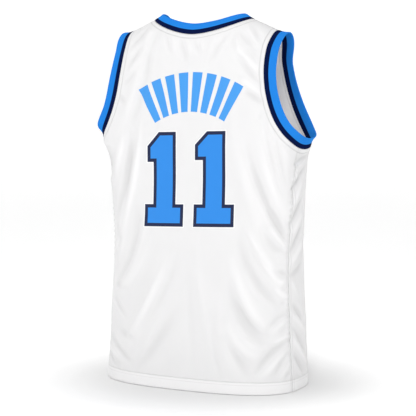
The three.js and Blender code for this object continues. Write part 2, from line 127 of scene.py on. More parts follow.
def sectionAt(down):
    # smooth curve through the rows, like a draughtsman's spline
    downs = sectionRows[:, 0]
    depth = np.clip(down, downs[0], downs[-1])
    row = np.clip(np.searchsorted(downs, depth) - 1, 0, len(downs) - 2)
    start, end = sectionRows[row], sectionRows[row + 1]
    before = sectionRows[np.maximum(row - 1, 0)]
    after = sectionRows[np.minimum(row + 2, len(downs) - 1)]
    gap = (end - start)[:, :1]
    t = (depth[:, None] - start[:, :1]) / gap
    slopeIn = (end - before) / (end - before)[:, :1]
    slopeOut = (after - start) / (after - start)[:, :1]
    value = mix(start, end, t * t * (3 - 2 * t))
    value = value + t * (1 - t) ** 2 * slopeIn * gap + t * t * (t - 1) * slopeOut * gap
    return dict(zip(sectionColumns, value.T))


def makeOvals():
    # one oval for each millimetre of height, read at even lengths from the middle
    # of the back round to the middle of the front
    downs = np.arange(-30.0, 736.0)
    steps = 960
    section = sectionAt(downs)
    turn = np.linspace(0, math.pi, steps + 1)
    behind = turn <= math.pi / 2 + 1e-9
    power = np.where(behind, section["boxBack"][:, None], section["boxFront"][:, None])
    depth = np.where(behind, section["back"][:, None], section["front"][:, None])
    sideways = np.abs(np.sin(turn)) / section["half"][:, None]
    deep = np.abs(np.cos(turn)) / depth
    radius = (sideways ** power + deep ** power) ** (-1 / power)
    x, y = radius * np.sin(turn), radius * np.cos(turn)
    lengths = np.hypot(np.diff(x), np.diff(y))
    reach = np.concatenate([np.zeros((len(downs), 1)), np.cumsum(lengths, axis=1)], axis=1)
    total = reach[:, -1]
    rows = range(len(downs))
    seam = [np.interp(section["seam"][i], y[i, steps // 2::-1], reach[i, steps // 2::-1]) for i in rows]
    even = np.linspace(0, 1, steps + 1)
    evenX, evenY = (np.array([np.interp(even * total[i], reach[i], line[i]) for i in rows])
                    for line in (x, y))
    return {"downs": downs, "steps": steps, "x": evenX, "y": evenY, "total": total,
            "widest": reach[:, steps // 2], "seam": np.array(seam)}


ovals = makeOvals()


def rowShare(down):
    place = np.clip(np.asarray(down, float) - ovals["downs"][0], 0, len(ovals["downs"]) - 1.001)
    row = place.astype(int)
    return row, place - row


def readOval(key, down):
    row, share = rowShare(down)
    return mix(ovals[key][row], ovals[key][row + 1], share)


def alongOval(reach, down):
    row, share = rowShare(down)
    x, y = 0, 0
    for near, part in ((row, 1 - share), (row + 1, share)):
        place = np.clip(reach / ovals["total"][near], 0, 1) * (ovals["steps"] - 0.001)
        step = place.astype(int)
        rest = place - step
        x = x + part * mix(ovals["x"][near, step], ovals["x"][near, step + 1], rest)
        y = y + part * mix(ovals["y"][near, step], ovals["y"][near, step + 1], rest)
    return x, y


def shoulderLine(x):
    # depth of the shoulder line under the neck points
    out = np.abs(x)
    slope, neckHalf = garment["slope"], garment["neckHalf"]
    return np.where(out > neckHalf, slope * (out - neckHalf),
                    -0.5 * slope * neckHalf * (1 - (out / neckHalf) ** 2))


def quarterTable(rounding):
    # length of cloth over a quarter oval, from the shoulder down
    bodyDepth = 80
    turns = np.linspace(0, math.pi / 2, 361)
    middle = (turns[1:] + turns[:-1]) / 2
    rate = np.hypot(bodyDepth * np.cos(middle), rounding * np.sin(middle))
    return turns, np.concatenate([[0], np.cumsum(rate) * (turns[1] - turns[0])])


quarters = {piece["name"]: quarterTable(piece["rounding"]) for piece in (backPiece, frontPiece)}


def clothToTurn(piece, cloth):
    turns, reach = quarters[piece["name"]]
    return np.interp(cloth, reach, turns)


def clothToDown(piece, x, cloth):
    whole = quarters[piece["name"]][1][-1]
    rounding = piece["rounding"]
    over = shoulderLine(x) + rounding * (1 - np.cos(clothToTurn(piece, cloth)))
    return np.where(cloth >= whole, shoulderLine(x) + rounding + cloth - whole, over)


def downToCloth(piece, x, down):
    turns, reach = quarters[piece["name"]]
    share = np.maximum(0, (down - shoulderLine(x)) / piece["rounding"])
    over = np.interp(np.arccos(np.clip(1 - share, 0, 1)), turns, reach)
    return np.where(share >= 1, reach[-1] + (share - 1) * piece["rounding"], over)


def fromBack(piece, across, down):
    return across if piece["isBack"] else readOval("total", down) - across


def acrossAt(piece, x, down):
    # distance over the cloth from the piece's own middle to a given x
    found = []
    for oneX, oneDown in zip(np.atleast_1d(x), np.atleast_1d(down)):
        row, share = rowShare(oneDown)
        line = mix(ovals["x"][row], ovals["x"][row + 1], share)
        if not piece["isBack"]:
            line = line[::-1]
        peak = int(np.argmax(line))
        place = np.interp(oneX, line[:peak + 1], np.arange(peak + 1))
        found.append(place / ovals["steps"] * readOval("total", oneDown))
    return np.array(found)


def clothAt(piece, across, down):
    x, y = alongOval(fromBack(piece, across, down), down)
    return downToCloth(piece, x, down)


def panelPoint(piece, across, cloth):
    halfWidth = 205                                # first guess, mended four times over
    down = clothToDown(piece, np.minimum(across, halfWidth), cloth)
    for _ in range(4):
        x, y = alongOval(fromBack(piece, across, down), down)
        down = clothToDown(piece, x, cloth)
    share = np.clip((np.abs(x) - garment["neckHalf"]) / (garment["tipHalf"] - garment["neckHalf"]), 0, 1)
    behind = mix(garment["behindNeck"], garment["behindTip"], share)
    ownSide = (y >= 0) == piece["isBack"]
    y = np.where(ownSide, mix(behind, y, np.sin(clothToTurn(piece, cloth))), y)
    return np.stack([x, y, -down], axis=-1)


def panelNormal(piece, across, cloth):
    step = 1.5
    sideways = panelPoint(piece, across + step, cloth)
    sideways = sideways - panelPoint(piece, np.maximum(0, across - step), cloth)
    downward = panelPoint(piece, across, cloth + step)
    downward = downward - panelPoint(piece, across, np.maximum(0, cloth - step))
    normal = unit(np.cross(sideways, downward))
    return normal if piece["isBack"] else -normal


def evenSteps(piece, count, across, cloth, down):
    # places at even lengths along an edge that is given finely
    run = runAlong(panelPoint(piece, across, cloth))
    wanted = np.linspace(0, run[-1], count + 1)
    return [np.interp(wanted, run, values) for values in (across, cloth, down)]


def armholeAt(piece, share):
    # share 0 at the shoulder tip, 1 at the armhole's lowest point
    share = np.atleast_1d(np.asarray(share, float))
    tipDown = float(shoulderLine(garment["tipHalf"]))
    tipAcross = acrossAt(piece, garment["tipHalf"], tipDown)[0]
    lowest = float(fromBack(piece, readOval("widest", garment["armLowest"]), garment["armLowest"]))
    straight = 0.3                                 # share of the edge above the curve
    part = (np.clip(share, 0, straight) / straight) ** 2
    turn = (math.pi / 2) * np.clip((share - straight) / (1 - straight), 0, 1)
    bend = 2 / piece["armPower"]
    curved = share >= straight
    across = np.where(curved, mix(lowest, piece["armAcross"], np.cos(turn) ** bend),
                      mix(tipAcross, piece["armAcross"], ease(part)))
    down = np.where(curved, mix(piece["armStraightTo"], garment["armLowest"], np.sin(turn) ** bend),
                    mix(tipDown, piece["armStraightTo"], part))
    return across, down


def seamShare():
    # where the side seam meets the back's armhole curve
    low, high = 0.5, 1.0
    for _ in range(30):
        middle = (low + high) / 2
        across, down = armholeAt(backPiece, middle)
        if across[0] < readOval("seam", down[0]):
            low = middle
        else:
            high = middle
    return low


def sideEdge(piece, sideShares):
    meet = seamShare()
    cornerDown = armholeAt(backPiece, meet)[1][0]
    fine = np.linspace(0, meet if piece["isBack"] else 2 - meet, 1500)
    across, down = armholeAt(piece, np.minimum(fine, 1))
    if not piece["isBack"]:
        under, underDown = armholeAt(backPiece, np.minimum(2 - fine, 1))
        past = fine > 1
        down = np.where(past, underDown, down)
        across = np.where(past, readOval("total", underDown) - under, across)
    cloth = clothAt(piece, across, down)
    cloth[0] = 0
    across, cloth, down = evenSteps(piece, cells["armhole"], across, cloth, down)
    downs = mix(cornerDown, garment["length"], sideShares[1:])
    seamAcross = fromBack(piece, readOval("seam", downs), downs)
    return np.append(across, seamAcross), np.append(cloth, clothAt(piece, seamAcross, downs))


def neckDepth(piece, turn):
    if piece["isBack"]:
        return garment["neckBackDown"] * (1 - np.sin(turn) ** garment["neckBackPower"])
    return garment["neckFrontDown"] * np.cos(turn)


def neckEdge(piece):
    turn = np.linspace(math.pi / 2, 0, 600)
    down = neckDepth(piece, turn)
    x = garment["neckHalf"] * np.sin(turn)
    cloth = downToCloth(piece, x, down)
    cloth[0] = 0
    count = piece["strapRows"] + cells["middle"]
    return evenSteps(piece, count, acrossAt(piece, x, down), cloth, down)[:2]


def tightenAtEnd(count, tight=12, least=0.4):
    # shares from 0 to 1 whose last steps are shorter
    width = np.ones(count)
    width[-tight:] = np.linspace(1, least, tight)
    return np.concatenate([[0], np.cumsum(width)]) / width.sum()


def rowsToHem(count):
    # even rows, and closer ones about the hem's stitching
    seamTop, closeDeep = 250.0, 9
    lengthBelow = garment["length"] - seamTop
    closeFrom = lengthBelow - garment["hemDepth"] - 5
    closeRows, hemRows = 10, 10
    upper = np.linspace(0, closeFrom, count - closeRows - hemRows + 1)
    close = np.linspace(closeFrom, closeFrom + closeDeep, closeRows + 1)[1:]
    rest = np.linspace(closeFrom + closeDeep, lengthBelow, hemRows + 1)[1:]
    return np.concatenate([upper, close, rest]) / lengthBelow


def halfPlaces(piece):
    # the fine grid of one half panel: distance over the cloth from its middle, and
    # length of cloth from the shoulder, with nothing where the neck is open
    sideShares = rowsToHem(cells["side"])
    sideAcross, sideCloth = sideEdge(piece, sideShares)
    neckAcross, neckCloth = neckEdge(piece)
    cut, middle, last = piece["strapRows"], cells["middle"], cells["armhole"] + cells["side"]
    across = np.full((last + 1, columns + 1), np.nan)
    cloth = across.copy()
    strap = tightenAtEnd(cells["shoulder"])
    for values, neck, side in ((across, neckAcross, sideAcross), (cloth, neckCloth, sideCloth)):
        for row in range(cut + 1):
            values[row, middle:] = mix(neck[row], side[row], strap)
        values[cut, :middle] = neck[cut + middle - np.arange(middle)]
    topAcross, topCloth, topWidth = across[cut].copy(), cloth[cut].copy(), sideAcross[cut]
    even = tightenAtEnd(columns)
    power = garment["risePower"]
    hemMiddle = clothAt(piece, np.array([0.0]), np.array([garment["length"]]))[0]
    hemLevel = clothAt(piece, sideAcross[last] * even, np.full(columns + 1, float(garment["length"])))
    neckDown = float(neckDepth(piece, 0.0))
    deepest = garment["armLowest"] + garment["riseAtSides"]
    for row in range(cut + 1, last + 1):
        if row <= cells["armhole"]:
            middleDown = mix(neckDown, deepest, (row - cut) / (cells["armhole"] - cut))
        else:
            middleDown = mix(deepest, garment["length"], sideShares[row - cells["armhole"]])
        blend = (middleDown - neckDown) / (garment["length"] - neckDown)
        middleCloth = clothAt(piece, np.array([0.0]), np.array([middleDown]))[0]
        width = sideAcross[row]
        if width > topWidth:
            spread = topAcross * (width / topWidth)
        else:
            spread = topAcross + (width - topWidth) * (topAcross / topWidth) ** 6
        line = mix(spread, width * even, blend)
        plain = mix(middleCloth, sideCloth[row], (line / width) ** power)
        topPlain = mix(topCloth[0], sideCloth[cut], (topAcross / topWidth) ** power)
        hemPlain = mix(hemMiddle, sideCloth[last], even ** power)
        across[row] = line
        cloth[row] = plain + (topCloth - topPlain) * (1 - blend) ** 2 + (hemLevel - hemPlain) * blend ** 2
    return across, cloth


# Folds and creases.

# across: round the body from the middle of the back, positive to the wearer's left,
# down: below the neck points, bow: sideways bulge, wide: half width, high: out of
# the cloth, or into it where negative.
foldColumns = ("across", "down", "toAcross", "toDown", "bow", "wide", "high")

backFolds = [
    # right flank: long drapes from the shoulder blade to the side seam
    (-96, 214, -158, 430, 0, 19, 4.2),
    (-126, 250, -172, 378, 2, 9, -2.1),
    (-153, 244, -206, 385, 4, 15, 4.0),
    (-186, 224, -204, 318, 0, 8, -3.5),
    (-174, 200, -204, 335, 2, 7, 2.0),
    (-200, 245, -216, 282, 0, 6, 1.8),
    (-174, 375, -202, 430, 0, 11, -4.4),
    (-176, 410, -202, 440, 0, 7, 2.6),
    (-158, 410, -206, 455, 10, 10, -3.6),
    (-156, 470, -208, 545, 0, 12, 4.7),
    (-110, 435, -188, 560, 12, 14, -4.2),
    (-98, 475, -160, 598, 7, 14, 4.0),
    (-96, 530, -174, 640, 12, 15, -4.2),
    (-94, 595, -156, 660, 13, 13, 3.3),
    (-90, 628, -140, 696, 0, 12, -3.1),
    # short tucks at the right side seam
    (-206, 462, -188, 463, 0, 5.5, 1.8),
    (-184, 490, -208, 500, 0, 6, -2.9),
    (-208, 510, -192, 516, 0, 6, 2.3),
    (-208, 524, -197, 528, 0, 5, -2.2),
    (-210, 543, -186, 530, 0, 6, 1.8),
    (-210, 553, -200, 556, 0, 5, -2.2),
    # creases that climb to the seam above the hem
    (-214, 576, -174, 610, 5, 6.5, -3.2),
    (-214, 588, -186, 610, 0, 5.5, 2.0),
    (-216, 600, -201, 618, 0, 5.5, -2.3),
    (-219, 620, -188, 636, 0, 6.5, 2.3),
    (-225, 633, -159, 687, 9, 9, -4.8),
    (-220, 645, -162, 704, -3, 8, 3.2),
    (-222, 657, -194, 696, 2, 7, -3.6),
    (-230, 676, -207, 705, 0, 6.5, 2.3),
    (-231, 696, -219, 706, 0, 5.5, -2.6),
    # left flank
    (111, 244, 165, 464, -5, 8.5, 6.5),
    (99, 36, 152, 213, -10, 13, 3.7),
    (147, 235, 176, 315, 0, 9, 3.2),
    (96, 82, 129, 214, -4, 13, -3.7),
    (124, 242, 170, 390, 0, 13, -4.7),
    (177, 417, 170, 455, 0, 8, -2.7),
    (96, 418, 156, 546, -10, 17, 4.8),
    (116, 398, 180, 542, -15, 12, -3.9),
    (44, 487, 122, 656, -3, 18, 4.8),
    (24, 470, 88, 610, -5, 12, -3.4),
    (20, 576, 100, 697, -6, 17, -3.7),
    (190, 470, 198, 600, 2, 16, 2.9),
    (195, 565, 147, 601, 0, 5.5, -2.9),
    (204, 647, 130, 688, 0, 6, -3.5),
    (216, 684, 160, 706, 0, 5.5, -2.9),
    (206, 668, 150, 692, 0, 5.5, 2.2),
    (168, 633, 118, 648, 0, 8, -2.9),
    (183, 543, 144, 546, 0, 7, -2.3),
    (207, 262, 211, 318, 0, 28, -7),
    (206, 300, 213, 560, 0, 34, -4.3),
    # narrow parallel drapes under the right armhole and along the flank
    (-166, 214, -196, 352, 2, 6, -2.4),
    (-190, 216, -212, 322, 2, 5.5, 2.2),
    (-140, 300, -196, 418, 4, 7, -2.6),
    (-150, 345, -204, 446, 5, 6, 2.2),
    (-122, 396, -186, 486, 7, 7, 2.4),
    (-134, 452, -202, 530, 6, 6, -2.4),
    (-128, 500, -196, 572, 9, 6.5, 2.4),
    (-112, 560, -180, 622, 9, 7, -2.4),
    (-118, 610, -176, 648, 8, 6, 2.0),
    (-70, 560, -112, 690, 6, 10, 2.2),
    (-58, 590, -88, 706, 4, 8, -1.8),
    (134, 236, 158, 372, -3, 6, -2.4),
    (150, 330, 186, 470, -5, 7, 2.4),
    (130, 340, 172, 470, -6, 7, -2.6),
    (86, 400, 140, 520, -7, 9, -2.2),
    (66, 520, 132, 640, -6, 7, 2.2),
    (60, 600, 118, 700, -5, 9, 2.2),
    # gathers under the neck band
    (60, 31, 45, 66, 0, 6, -2.0),
    (42, 38, 32, 68, 0, 5.5, 1.3),
    (24, 40, 8, 86, 0, 7, -2.6),
    (8, 42, -3, 70, 0, 6, 1.8),
    (-8, 42, -22, 70, 0, 6, -1.8),
    (-22, 41, -30, 64, 0, 6, 1.6),
    (-50, 38, -40, 66, 0, 6, 1.2),
    (-75, 30, -45, 82, 0, 7, -2.5),
    (-84, 30, -57, 76, 0, 6, 1.6),
    # creases from the neck points over the shoulder blades
    (-87, 30, -92, 62, 0, 5.5, -1.8),
    (-96, 34, -108, 72, 0, 6, 1.6),
    (-96, 24, -144, 64, 0, 8, -3.1),
    (-111, 15, -140, 52, 0, 7, 2.3),
    (-118, 13, -143, 42, 0, 5.5, -2.7),
    (-120, 60, -146, 82, 0, 7, -2.7),
    (-108, 62, -148, 106, 0, 9, 3.2),
    (-105, 74, -152, 129, 0, 10, -3.8),
    (-118, 118, -154, 149, 0, 9, 3.2),
    (-122, 140, -157, 161, 0, 9, -4.6),
    (-162, 178, -150, 198, 0, 6.5, -2.0),
    (108, 16, 141, 52, 0, 6.5, -2.7),
    (99, 30, 140, 75, 0, 6.5, 2.3),
    (110, 40, 142, 98, 0, 7.5, -3.2),
    (114, 78, 146, 115, 0, 7.5, 2.3),
    (124, 108, 149, 130, 0, 6.5, -2.3),
    (160, 155, 146, 168, 0, 6.5, -2.7),
    (81, 25, 98, 112, 3, 8, -2.6),
    (135, 12, 138, 29, 0, 5.5, -2.2),
    # broad, shallow ones down the middle
    (-20, 430, -66, 640, 8, 16, 2.7),
    (-4, 500, -30, 690, 4, 13, -2.0),
    (-60, 120, -84, 230, 3, 15, -2.0),
    (52, 110, 76, 235, -3, 15, -1.8),
]

frontFolds = [
    (108, 270, 205, 455, -14, 13, 5.0),
    (150, 300, 240, 420, -8, 12, -4.5),
    (90, 420, 190, 570, -10, 14, 4.4),
    (70, 470, 160, 640, -10, 13, -3.7),
    (40, 430, 120, 690, -12, 15, 3.8),
    (-100, 260, -210, 440, 14, 13, 5.0),
    (-140, 320, -236, 470, 8, 12, -4.5),
    (-84, 440, -196, 600, 12, 14, 4.4),
    (-66, 500, -150, 660, 10, 13, -3.6),
    (-34, 400, -96, 680, 10, 16, 3.3),
    # gathers under the neck band and over the chest
    (70, 96, 62, 150, 0, 7, -2.2),
    (40, 112, 34, 160, 0, 7, 1.8),
    (14, 116, 6, 158, 0, 7, -1.8),
    (-18, 116, -24, 154, 0, 7, 1.8),
    (-46, 110, -42, 158, 0, 7, -2.2),
    (-84, 84, -72, 146, 0, 8, 2.0),
    (104, 50, 124, 98, 0, 8, -2.4),
    (96, 96, 122, 146, 0, 9, 2.2),
    (-102, 48, -124, 94, 0, 8, -2.4),
    (-94, 92, -122, 150, 0, 9, 2.2),
    (108, 168, 126, 208, 0, 9, -2.4),
    (-106, 164, -126, 202, 0, 9, -2.4),
    # right side: creases that fall to the seam, then climb to it above the hem
    (-240, 267, -298, 283, 0, 6, -4.3),
    (-254, 280, -297, 289, 0, 6, 3.5),
    (-248, 293, -297, 333, 0, 7, -4.9),
    (-282, 301, -297, 318, 0, 6, 3.0),
    (-260, 320, -294, 370, 0, 8, 4.2),
    (-248, 354, -292, 402, 0, 7, -4.9),
    (-250, 385, -286, 418, 0, 8, 4.2),
    (-243, 411, -288, 457, 0, 7.5, -4.9),
    (-243, 442, -288, 477, 0, 8, 4.2),
    (-236, 488, -290, 505, 0, 8, -4.9),
    (-290, 511, -270, 551, 0, 6, 2.4),
    (-292, 562, -252, 597, 0, 7.5, -4.9),
    (-298, 582, -246, 623, 0, 7.5, 3.1),
    (-298, 607, -250, 662, 0, 7.5, -4.3),
    (-303, 631, -248, 690, 0, 7, 3.6),
    (-304, 658, -267, 703, 0, 7.5, -4.9),
    (-303, 687, -276, 709, 0, 6, 2.4),
    # left side, much the same
    (238, 270, 296, 290, 0, 6, -3.1),
    (252, 286, 296, 302, 0, 6, 2.3),
    (246, 306, 295, 350, 0, 7, -3.5),
    (258, 334, 292, 384, 0, 8, 2.9),
    (244, 370, 288, 420, 0, 7, -3.2),
    (240, 420, 286, 466, 0, 8, 2.9),
    (236, 470, 284, 500, 0, 8, -3.2),
    (288, 540, 250, 580, 0, 7.5, -3.2),
    (292, 566, 246, 610, 0, 7.5, 2.3),
    (296, 600, 250, 652, 0, 7.5, -3.1),
    (300, 634, 250, 686, 0, 7, 2.6),
    (302, 668, 266, 706, 0, 7.5, -3.2),
]


def foldHeight(folds, across, down):
    height = np.zeros_like(across)
    for row in folds:
        fold = dict(zip(foldColumns, row))
        runAcross = fold["toAcross"] - fold["across"]
        runDown = fold["toDown"] - fold["down"]
        length = math.hypot(runAcross, runDown)
        fromAcross, fromDown = across - fold["across"], down - fold["down"]
        along = (fromAcross * runAcross + fromDown * runDown) / length ** 2
        aside = (fromAcross * runDown - fromDown * runAcross) / length
        lead = 0.16                                # each fold runs out softly past its ends
        inside = np.clip(along, -lead, 1 + lead)
        line = fold["bow"] * 4 * inside * (1 - inside)
        away = np.hypot(aside - line, (along - inside) * length) / fold["wide"]
        taper = np.sin(math.pi * (inside + lead) / (1 + 2 * lead)) ** 0.8
        height += fold["high"] * taper * np.exp(-away * away)
    return height


underarmFlare = {"out": 7, "high": 16, "down": 250, "round": 45, "ahead": 12}

sideSeam = {
    "valley": 1.1,         # depth of the seam's own furrow
    "valleyWide": 2.6,
    "pucker": 12.5,        # from one small pucker to the next
    "puckerHigh": 1.5,
    "puckerAside": 4,      # the puckers lie on the back's side of the seam
    "puckerWide": 4.5,
}

hem = {
    "step": 0.45,          # rise where the cloth is doubled
    "stepWide": 2.5,
    "groove": 0.5,         # needle groove
    "grooveWide": 1.1,
    "roll": 0.9,           # turn of the lower edge
    "rollWide": 1.2,
}


def bodyRelief(piece, across, cloth, down, hand):
    # everything that lifts or sinks the cloth from its plain form
    total = readOval("total", down)
    reach = fromBack(piece, across, down)
    faded = ease(cloth / 25)                       # nothing lifts the shoulder seam
    height = foldHeight(backFolds, reach * hand, down) * faded
    height += foldHeight(frontFolds, (total - reach) * hand, down) * faded
    # small puckers along the side seam, closer on one side of it
    seamSide = reach - readOval("seam", down)
    ripple = np.cos(2 * math.pi * down / sideSeam["pucker"] + 1.3 * np.sin(down / 23) + hand)
    ripple *= bell(seamSide + sideSeam["puckerAside"], sideSeam["puckerWide"]) * ease((down - 250) / 30)
    height += sideSeam["puckerHigh"] * ripple * (0.65 + 0.35 * np.sin(down / 37 + 2 * hand))
    flare = underarmFlare
    under = (down - flare["down"]) / flare["high"]
    aside = (reach - readOval("widest", down) - flare["ahead"]) / flare["round"]
    height += flare["out"] * np.exp(-under * under - aside * aside)
    # the side seam lies in a shallow valley
    height -= sideSeam["valley"] * bell(seamSide, sideSeam["valleyWide"]) * ease((down - 246) / 20)
    # two layers and a needle groove at the hem, rolled under at its edge
    up = garment["length"] - down
    height += hem["step"] * ease((garment["hemDepth"] + hem["stepWide"] - up) / hem["stepWide"])
    height -= hem["groove"] * bell(up - garment["hemDepth"] + 0.8, hem["grooveWide"])
    height -= hem["roll"] * np.exp(-up / hem["rollWide"])
    return height


def makeMesh(name, points, faces):
    mesh = bpy.data.meshes.new(name)
    mesh.from_pydata((points * mm).tolist(), [], faces.tolist())
    mesh.update()
    return mesh


def cornerPoints(mesh):
    # the point that each corner of each face uses
    points = np.empty(len(mesh.loops), int)
    mesh.loops.foreach_get("vertex_index", points)
    return points


def writeCut(mesh, flat):
    # pattern coordinates, from millimetres to metres
    layer = mesh.uv_layers.new(name="cut")
    layer.data.foreach_set("uv", (flat * mm).astype(np.float32).ravel())


def gridMesh(name, points, flip, present):
    # quads over a grid of points, leaving out what is not present
    number = np.full(present.shape, -1)
    number[present] = np.arange(present.sum())
    a, b = number[:-1, :-1].ravel(), number[:-1, 1:].ravel()
    c, d = number[1:, 1:].ravel(), number[1:, :-1].ravel()
    quads = np.stack([a, b, c, d], axis=1)
    quads = quads[(quads >= 0).all(axis=1)]
    if flip:
        quads = quads[:, ::-1]
    return makeMesh(name, points[present], quads)


def addPiece(name, mesh):
    piece = bpy.data.objects.new(name, mesh)
    bpy.context.scene.collection.objects.link(piece)
    mesh.polygons.foreach_set("use_smooth", np.ones(len(mesh.polygons), bool))
    return piece


def smoothGrid(values):
    # each place takes the mean of itself and its neighbours, where there are any
    padded = np.pad(values, 1, constant_values=np.nan)
    near = np.stack([padded[1:-1, 1:-1], padded[1:-1, 1:-1], padded[:-2, 1:-1], padded[2:, 1:-1],
                     padded[1:-1, :-2], padded[1:-1, 2:]])
    known = ~np.isnan(near)
    mean = np.where(known, near, 0).sum(axis=0) / np.maximum(1, known.sum(axis=0))
    return np.where(np.isnan(values), np.nan, mean)


def panelGrid(piece):
    halfAcross, halfCloth = halfPlaces(piece)
    order = np.abs(np.arange(-columns, columns + 1))
    hand = np.where(np.arange(-columns, columns + 1) > 0, -1.0, 1.0)
    present = ~np.isnan(halfAcross[:, order])
    across = np.nan_to_num(halfAcross[:, order])
    cloth = np.nan_to_num(halfCloth[:, order])
    points = panelPoint(piece, across, cloth)
    normals = panelNormal(piece, across, cloth)
    down = -points[..., 2]
    height = bodyRelief(piece, across, cloth, down, hand)
    around = np.where(present, height, np.nan)
    for _ in range(180):
        around = smoothGrid(around)
    relief = np.where(present, height - around, 0)
    points[..., 0] *= hand
    normals[..., 0] *= hand
    points += normals * height[..., None]
    return {"points": points, "normals": normals, "across": across * hand, "down": down,
            "cloth": cloth, "relief": relief, "present": present}


backGrid = panelGrid(backPiece)
frontGrid = panelGrid(frontPiece)
print("panel grids:", backGrid["present"].sum(), "and", frontGrid["present"].sum(), "points")


def edgeLines(grid, piece):
    # the neck edge and both armhole edges as rows of points with normals
    middle, cut = cells["middle"], piece["strapRows"]
    left, right = columns - middle, columns + middle
    rows = [(row, left) for row in range(cut)]
    rows += [(cut, column) for column in range(left, right + 1)]
    rows += [(row, right) for row in range(cut - 1, -1, -1)]
    arm = range(cells["armhole"] + 1)
    lines = {"neck": rows, "left": [(row, 0) for row in arm], "right": [(row, 2 * columns) for row in arm]}
    return {name: [np.array([grid[key][at] for at in places]) for key in ("points", "normals")]
            for name, places in lines.items()}


def closedLine(first, second):
    # two edges that meet at both ends become one closed line
    points, normals = (np.concatenate([[(a[0] + b[0]) / 2], a[1:-1], [(a[-1] + b[-1]) / 2], b[-2:0:-1]])
                       for a, b in zip(first, second))
    return points, unit(normals)


def resampleClosed(line, pitch):
    # four even steps for each rib
    closed = [np.concatenate([values, values[:1]]) for values in line]
    run = runAlong(closed[0])
    count = 4 * round(run[-1] / pitch)
    wanted = np.arange(count) * run[-1] / count
    points, normals = (np.stack([np.interp(wanted, run, values[:, axis]) for axis in range(3)], axis=1)
                       for values in closed)
    return points, unit(normals), run[-1]


def smoothRing(values, rounds):
    for _ in range(rounds):
        values = (np.roll(values, 1, axis=0) + 2 * values + np.roll(values, -1, axis=0)) / 4
    return values


# Ribbed bands.

rib = {
    "wide": 25,
    "wall": 2.2,
    "proud": 0.4,          # stands over the panel's face
    "stripe": 9.8,         # navy part beside the seam
    "pitch": 2.0,          # one rib of the knit
    "depth": 0.22,         # relief of the ribs
    "neckLeanBack": -0.2,
    "neckLeanSide": 0.12,
    "neckLeanFront": -0.05,
    "neckNarrower": 4,
    "armLeanTop": 0.24,
    "armLeanUnder": 0.48,
    "armLeanFromBack": 0.7,
    "armLeanFromFront": 0.32,
    "sunk": 0.9,           # dip beside the seam
    "sunkWide": 1.1,
    "tucked": 1.2,         # depth of the edge under the panel
}


def neckShape(points):
    aside = ease(2 * np.abs(points[:, 0]) / garment["neckHalf"] - 1)
    middle = np.where(points[:, 1] > 0, rib["neckLeanBack"], rib["neckLeanFront"])
    return mix(middle, rib["neckLeanSide"], aside), rib["wide"] - rib["neckNarrower"] * aside


def armShape(points):
    share = -points[:, 2] / garment["armLowest"]
    start = np.where(points[:, 1] > 0, rib["armLeanFromBack"], rib["armLeanFromFront"])
    under = rib["armLeanUnder"] * ease((share - start) / (1 - start))
    top = rib["armLeanTop"] * (1 - ease((share - 0.09) / 0.2))
    return under + top, np.full(len(points), float(rib["wide"]))


def ribBand(name, line, centre, shapeAt):
    points, normals, length = resampleClosed(line, rib["pitch"])
    count = len(points)
    lean, wide = shapeAt(points)
    lean, wide = smoothRing(lean, 40)[:, None], smoothRing(wide, 40)[:, None]
    along = np.roll(points, -2, axis=0) - np.roll(points, 2, axis=0)
    out = unit(np.cross(normals, along))
    inward = np.sum(out * (np.array(centre) - points), axis=1, keepdims=True)
    out = smoothRing(np.where(inward < 0, -out, out), 12)
    half = rib["wall"] / 2
    shares = np.concatenate([[-0.03], np.linspace(0.012, 1 - half / rib["wide"], 14)])
    ribs = np.cos(math.pi / 2 * np.arange(count))[:, None] * rib["depth"]

    def midAt(share):
        heading = unit(out + normals * lean * max(share, 0))
        face = unit(normals - heading * np.sum(heading * normals, axis=1, keepdims=True))
        dip = bell(share * rib["wide"], rib["sunkWide"])
        sunk = rib["sunk"] * dip if share >= 0 else rib["tucked"]
        middle = points + heading * wide * share + normals * (rib["proud"] - half - sunk)
        return middle, heading, face

    profile, away = [], []

    def addLine(share, side):
        middle, heading, face = midAt(share)
        relief = ribs * float(ease(share * 12)) if share > 0 else 0
        profile.append(middle + side * face * (half + relief))
        away.append(share)

    for share in shares:
        addLine(share, 1)
    lastMiddle, heading, face = midAt(shares[-1])
    for turn in np.linspace(0, math.pi, 7)[1:-1]:
        profile.append(lastMiddle + face * half * math.cos(turn) + heading * half * math.sin(turn)
                       + face * ribs * math.cos(turn) * 0.7)
        away.append(shares[-1] + (1 - shares[-1]) * math.sin(turn))
    for share in shares[::-1]:
        addLine(share, -1)
    ring = np.array(profile)                       # stations round the section, then along
    stations = len(profile)
    number = np.arange(stations * count).reshape(stations, count)
    nextStation, nextAlong = np.roll(number, -1, axis=0), np.roll(number, -1, axis=1)
    quads = np.stack([number, nextAlong, np.roll(nextStation, -1, axis=1), nextStation], axis=-1)
    mesh = makeMesh(name, ring.reshape(-1, 3), quads.reshape(-1, 4))
    volume = sum(p.center.dot(p.normal) * p.area for p in mesh.polygons)
    if volume < 0:
        mesh.flip_normals()
    # u runs along the band and v from the seam to the free edge, in metres
    corners = cornerPoints(mesh)
    station, step = corners // count, corners % count
    faceStart = np.repeat(step[::4], 4)
    u = step + np.where((faceStart - step) > count / 2, count, 0)
    u = np.where((step - faceStart) > count / 2, u - count, u) * (length / count)
    v = np.array(away)[station] * rib["wide"]
    writeCut(mesh, np.stack([u, v], axis=1))
    return addPiece(name, mesh), length


